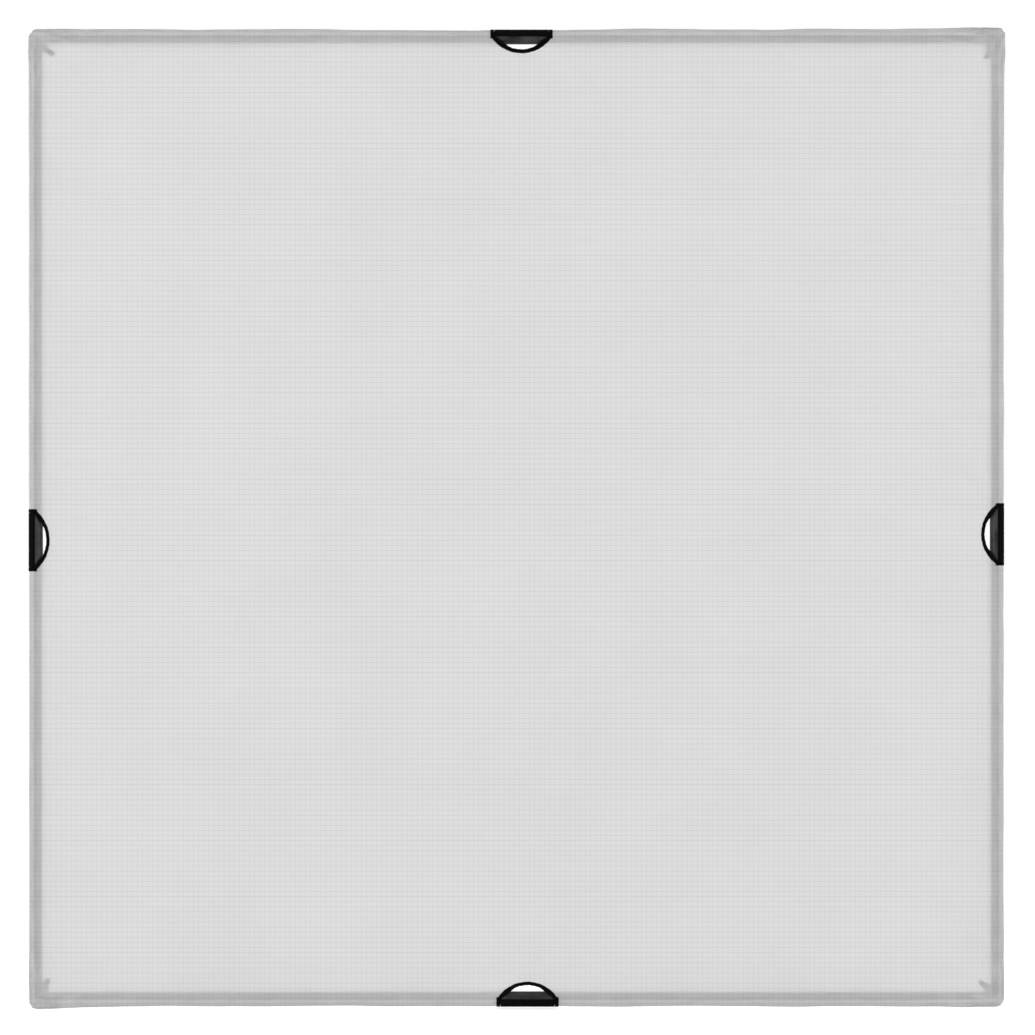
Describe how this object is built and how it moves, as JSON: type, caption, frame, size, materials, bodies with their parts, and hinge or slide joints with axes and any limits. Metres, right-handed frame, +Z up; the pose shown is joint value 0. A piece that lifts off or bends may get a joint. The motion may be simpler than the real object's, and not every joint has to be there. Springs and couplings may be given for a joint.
{
  "type": "framed diffusion panel",
  "caption": "Square knock-down tube frame with a translucent ripstop diffusion cloth hemmed round it by hook-and-loop tape, open at mid-side for grip clamps.",
  "frame": {"origin": "middle of the panel, in the plane of the four tube axes", "axes": "+X to the right across the panel, +Y from the cloth's face towards the open back, +Z up"},
  "size_m": [1.2202, 0.0208, 1.2202],
  "materials": {
    "anodised_tube": "satin black anodised",
    "bare_alloy": "drawn, uncoated",
    "plated_steel": "zinc plated",
    "spring_steel": "blued",
    "hook_tape": "matte black hooks",
    "loop_tape": "brushed white loops",
    "diffusion_cloth": "translucent white ripstop",
    "binding_tape": "woven black tape",
    "webbing": "woven black webbing"
  },
  "bodies": {
    "frame": {"corner_elbow_top_right": "anodised_tube", "corner_elbow_bottom_right": "anodised_tube", "corner_elbow_bottom_left": "anodised_tube", "corner_elbow_top_left": "anodised_tube", "tube_top_long": "anodised_tube", "tube_top_short": "anodised_tube", "tube_right_long": "anodised_tube", "tube_right_short": "anodised_tube", "tube_bottom_long": "anodised_tube", "tube_bottom_short": "anodised_tube", "tube_left_long": "anodised_tube", "tube_left_short": "anodised_tube", "joint_spigot_top": "bare_alloy", "joint_spigot_right": "bare_alloy", "joint_spigot_bottom": "bare_alloy", "joint_spigot_left": "bare_alloy", "spigot_rivets": "plated_steel", "button_springs": "spring_steel", "hook_tapes": "hook_tape", "diffusion_cloth": "diffusion_cloth", "opening_binding_top": "binding_tape", "opening_binding_right": "binding_tape", "opening_binding_bottom": "binding_tape", "opening_binding_left": "binding_tape"},
    "hem_top_left": {"hem_top_left": "diffusion_cloth", "loop_tape_top_left": "loop_tape"},
    "hem_top_right": {"hem_top_right": "diffusion_cloth", "loop_tape_top_right": "loop_tape"},
    "hem_right_top": {"hem_right_top": "diffusion_cloth", "loop_tape_right_top": "loop_tape"},
    "hem_right_bottom": {"hem_right_bottom": "diffusion_cloth", "loop_tape_right_bottom": "loop_tape"},
    "hem_bottom_right": {"hem_bottom_right": "diffusion_cloth", "loop_tape_bottom_right": "loop_tape"},
    "hem_bottom_left": {"hem_bottom_left": "diffusion_cloth", "loop_tape_bottom_left": "loop_tape"},
    "hem_left_bottom": {"hem_left_bottom": "diffusion_cloth", "loop_tape_left_bottom": "loop_tape"},
    "hem_left_top": {"hem_left_top": "diffusion_cloth", "loop_tape_left_top": "loop_tape"},
    "pull_tab_top_right": {"pull_tab_top_right": "webbing"},
    "pull_tab_bottom_right": {"pull_tab_bottom_right": "webbing"},
    "pull_tab_bottom_left": {"pull_tab_bottom_left": "webbing"},
    "pull_tab_top_left": {"pull_tab_top_left": "webbing"},
    "snap_button_top_start": {"snap_button_top_start": "plated_steel"},
    "snap_button_top_joint": {"snap_button_top_joint": "plated_steel"},
    "snap_button_top_end": {"snap_button_top_end": "plated_steel"},
    "snap_button_right_start": {"snap_button_right_start": "plated_steel"},
    "snap_button_right_joint": {"snap_button_right_joint": "plated_steel"},
    "snap_button_right_end": {"snap_button_right_end": "plated_steel"},
    "snap_button_bottom_start": {"snap_button_bottom_start": "plated_steel"},
    "snap_button_bottom_joint": {"snap_button_bottom_joint": "plated_steel"},
    "snap_button_bottom_end": {"snap_button_bottom_end": "plated_steel"},
    "snap_button_left_start": {"snap_button_left_start": "plated_steel"},
    "snap_button_left_joint": {"snap_button_left_joint": "plated_steel"},
    "snap_button_left_end": {"snap_button_left_end": "plated_steel"}
  },
  "joints": [
    {"name": "hem_top_left_peel", "type": "hinge", "parent": "frame", "child": "hem_top_left", "pos_m": [0, -0.00829, 0.59961], "axis": [1, 0, 0], "range_deg": [0, 120]},
    {"name": "hem_top_right_peel", "type": "hinge", "parent": "frame", "child": "hem_top_right", "pos_m": [0, -0.00829, 0.59961], "axis": [1, 0, 0], "range_deg": [0, 120]},
    {"name": "hem_right_top_peel", "type": "hinge", "parent": "frame", "child": "hem_right_top", "pos_m": [0.59961, -0.00829, 0], "axis": [0, 0, -1], "range_deg": [0, 120]},
    {"name": "hem_right_bottom_peel", "type": "hinge", "parent": "frame", "child": "hem_right_bottom", "pos_m": [0.59961, -0.00829, 0], "axis": [0, 0, -1], "range_deg": [0, 120]},
    {"name": "hem_bottom_right_peel", "type": "hinge", "parent": "frame", "child": "hem_bottom_right", "pos_m": [0, -0.00829, -0.59961], "axis": [-1, 0, 0], "range_deg": [0, 120]},
    {"name": "hem_bottom_left_peel", "type": "hinge", "parent": "frame", "child": "hem_bottom_left", "pos_m": [0, -0.00829, -0.59961], "axis": [-1, 0, 0], "range_deg": [0, 120]},
    {"name": "hem_left_bottom_peel", "type": "hinge", "parent": "frame", "child": "hem_left_bottom", "pos_m": [-0.59961, -0.00829, 0], "axis": [0, 0, 1], "range_deg": [0, 120]},
    {"name": "hem_left_top_peel", "type": "hinge", "parent": "frame", "child": "hem_left_top", "pos_m": [-0.59961, -0.00829, 0], "axis": [0, 0, 1], "range_deg": [0, 120]},
    {"name": "pull_tab_top_right_lift", "type": "hinge", "parent": "frame", "child": "pull_tab_top_right", "pos_m": [0.59437, 0.01044, 0.60079], "axis": [0.9563, 0, -0.2924], "range_deg": [0, 100]},
    {"name": "pull_tab_bottom_right_lift", "type": "hinge", "parent": "frame", "child": "pull_tab_bottom_right", "pos_m": [0.60187, 0.01044, -0.59573], "axis": [-0.5878, 0, -0.809], "range_deg": [0, 100]},
    {"name": "pull_tab_bottom_left_lift", "type": "hinge", "parent": "frame", "child": "pull_tab_bottom_left", "pos_m": [-0.60188, 0.01044, -0.59858], "axis": [-0.766, 0, 0.6428], "range_deg": [0, 100]},
    {"name": "pull_tab_top_left_lift", "type": "hinge", "parent": "frame", "child": "pull_tab_top_left", "pos_m": [-0.60176, 0.01044, 0.59394], "axis": [0.5446, 0, 0.8387], "range_deg": [0, 100]},
    {"name": "snap_button_top_start_press", "type": "slide", "parent": "frame", "child": "snap_button_top_start", "axis": [0, -0.7071, 0.7071], "range_m": [0, 0.0033], "stiffness_N_per_m": 400, "springref_m": -0.001, "deforming": ["button_springs"]},
    {"name": "snap_button_top_joint_press", "type": "slide", "parent": "frame", "child": "snap_button_top_joint", "axis": [0, -0.7071, 0.7071], "range_m": [0, 0.0033], "stiffness_N_per_m": 400, "springref_m": -0.001, "deforming": ["button_springs"]},
    {"name": "snap_button_top_end_press", "type": "slide", "parent": "frame", "child": "snap_button_top_end", "axis": [0, -0.7071, 0.7071], "range_m": [0, 0.0033], "stiffness_N_per_m": 400, "springref_m": -0.001, "deforming": ["button_springs"]},
    {"name": "snap_button_right_start_press", "type": "slide", "parent": "frame", "child": "snap_button_right_start", "axis": [0.7071, -0.7071, 0], "range_m": [0, 0.0033], "stiffness_N_per_m": 400, "springref_m": -0.001, "deforming": ["button_springs"]},
    {"name": "snap_button_right_joint_press", "type": "slide", "parent": "frame", "child": "snap_button_right_joint", "axis": [0.7071, -0.7071, 0], "range_m": [0, 0.0033], "stiffness_N_per_m": 400, "springref_m": -0.001, "deforming": ["button_springs"]},
    {"name": "snap_button_right_end_press", "type": "slide", "parent": "frame", "child": "snap_button_right_end", "axis": [0.7071, -0.7071, 0], "range_m": [0, 0.0033], "stiffness_N_per_m": 400, "springref_m": -0.001, "deforming": ["button_springs"]},
    {"name": "snap_button_bottom_start_press", "type": "slide", "parent": "frame", "child": "snap_button_bottom_start", "axis": [0, -0.7071, -0.7071], "range_m": [0, 0.0033], "stiffness_N_per_m": 400, "springref_m": -0.001, "deforming": ["button_springs"]},
    {"name": "snap_button_bottom_joint_press", "type": "slide", "parent": "frame", "child": "snap_button_bottom_joint", "axis": [0, -0.7071, -0.7071], "range_m": [0, 0.0033], "stiffness_N_per_m": 400, "springref_m": -0.001, "deforming": ["button_springs"]},
    {"name": "snap_button_bottom_end_press", "type": "slide", "parent": "frame", "child": "snap_button_bottom_end", "axis": [0, -0.7071, -0.7071], "range_m": [0, 0.0033], "stiffness_N_per_m": 400, "springref_m": -0.001, "deforming": ["button_springs"]},
    {"name": "snap_button_left_start_press", "type": "slide", "parent": "frame", "child": "snap_button_left_start", "axis": [-0.7071, -0.7071, 0], "range_m": [0, 0.0033], "stiffness_N_per_m": 400, "springref_m": -0.001, "deforming": ["button_springs"]},
    {"name": "snap_button_left_joint_press", "type": "slide", "parent": "frame", "child": "snap_button_left_joint", "axis": [-0.7071, -0.7071, 0], "range_m": [0, 0.0033], "stiffness_N_per_m": 400, "springref_m": -0.001, "deforming": ["button_springs"]},
    {"name": "snap_button_left_end_press", "type": "slide", "parent": "frame", "child": "snap_button_left_end", "axis": [-0.7071, -0.7071, 0], "range_m": [0, 0.0033], "stiffness_N_per_m": 400, "springref_m": -0.001, "deforming": ["button_springs"]}
  ]
}
